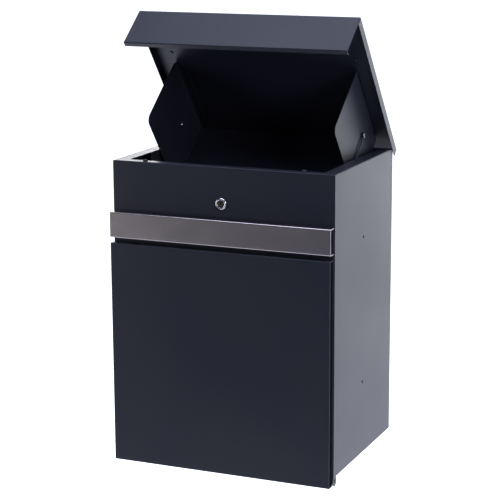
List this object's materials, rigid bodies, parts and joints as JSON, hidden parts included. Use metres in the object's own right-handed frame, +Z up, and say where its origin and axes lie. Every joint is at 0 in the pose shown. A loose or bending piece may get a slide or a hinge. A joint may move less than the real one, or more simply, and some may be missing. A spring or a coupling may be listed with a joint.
{
  "type": "parcel drop box",
  "caption": "Wall-hung steel parcel drop box: lifting lid with a parcel scoop, bottom-hinged front door with a full-width pull rail, and a cam lock.",
  "frame": {"origin": "centre of the four wall fixings, on the plane of the wall", "axes": "front faces -Y, +X to the right of a person facing the box, +Z up"},
  "size_m": [0.4432, 0.3595, 0.8453],
  "materials": {
    "powder_coat": "fine-textured anthracite powder coat",
    "brushed_stainless": "satin, brushed along its length",
    "zinc_plated": "zinc plated",
    "chrome_plated": "polished chrome plate",
    "black_rubber": "moulded matt rubber",
    "spacer_plastic": "moulded nylon",
    "ferrite": "sintered ferrite"
  },
  "bodies": {
    "cabinet": {"left_side_panel": "powder_coat", "right_side_panel": "powder_coat", "rear_panel": "powder_coat", "floor_panel": "powder_coat", "front_fascia": "powder_coat", "rim_bumpers": "black_rubber", "wall_spacers": "spacer_plastic", "wall_washers": "zinc_plated", "catch_magnets": "ferrite", "left_stay_guide": "zinc_plated", "right_stay_guide": "zinc_plated", "guide_rivets": "zinc_plated", "hinge_body_leaves": "zinc_plated", "hinge_leaf_rivets": "zinc_plated", "lid_hinge_pins": "zinc_plated", "lock_housing": "chrome_plated", "lock_nut": "zinc_plated"},
    "lid": {"lid_shell": "powder_coat", "hinge_lid_leaves": "zinc_plated", "lid_studs": "powder_coat", "left_scoop_cheek": "powder_coat", "right_scoop_cheek": "powder_coat", "scoop_end_plate": "powder_coat", "scoop_rivets": "powder_coat", "stay_pins": "chrome_plated"},
    "left_stay": {"left_stay_rod": "powder_coat", "left_stay_cap": "black_rubber"},
    "right_stay": {"right_stay_rod": "powder_coat", "right_stay_cap": "black_rubber"},
    "door": {"door_inner_panel": "powder_coat", "door_outer_skin": "powder_coat", "pull_rail": "brushed_stainless", "rail_spacers": "brushed_stainless", "rail_screws": "zinc_plated", "lock_keeper": "zinc_plated", "keeper_rivets": "zinc_plated", "door_lugs": "zinc_plated", "lug_rivets": "zinc_plated", "door_hinge_pins": "zinc_plated", "hinge_washers": "spacer_plastic", "door_buffers": "black_rubber"},
    "lock": {"lock_plug": "chrome_plated", "lock_cam": "zinc_plated", "lock_cam_screw": "zinc_plated"}
  },
  "joints": [
    {"name": "lid_hinge", "type": "hinge", "parent": "cabinet", "child": "lid", "pos_m": [0, -0.0195, 0.271], "axis": [1, 0, 0], "range_deg": [0, 51.75]},
    {"name": "left_stay_pivot", "type": "hinge", "parent": "lid", "child": "left_stay", "pos_m": [-0.1905, -0.10975, 0.31764], "axis": [1, 0, 0], "range_deg": [-107, 0]},
    {"name": "right_stay_pivot", "type": "hinge", "parent": "lid", "child": "right_stay", "pos_m": [0.1905, -0.10975, 0.31764], "axis": [1, 0, 0], "range_deg": [-107, 0]},
    {"name": "door_hinge", "type": "hinge", "parent": "cabinet", "child": "door", "pos_m": [0, -0.334, -0.2885], "axis": [1, 0, 0], "range_deg": [0, 90]},
    {"name": "lock_turn", "type": "hinge", "parent": "cabinet", "child": "lock", "pos_m": [0, -0.34, 0.214], "axis": [0, 1, 0], "range_deg": [0, 90]}
  ],
  "couplings": [
    {"joint": "left_stay_pivot", "follows": "lid_hinge", "ratio": -2.0605},
    {"joint": "right_stay_pivot", "follows": "lid_hinge", "ratio": -2.0605}
  ]
}
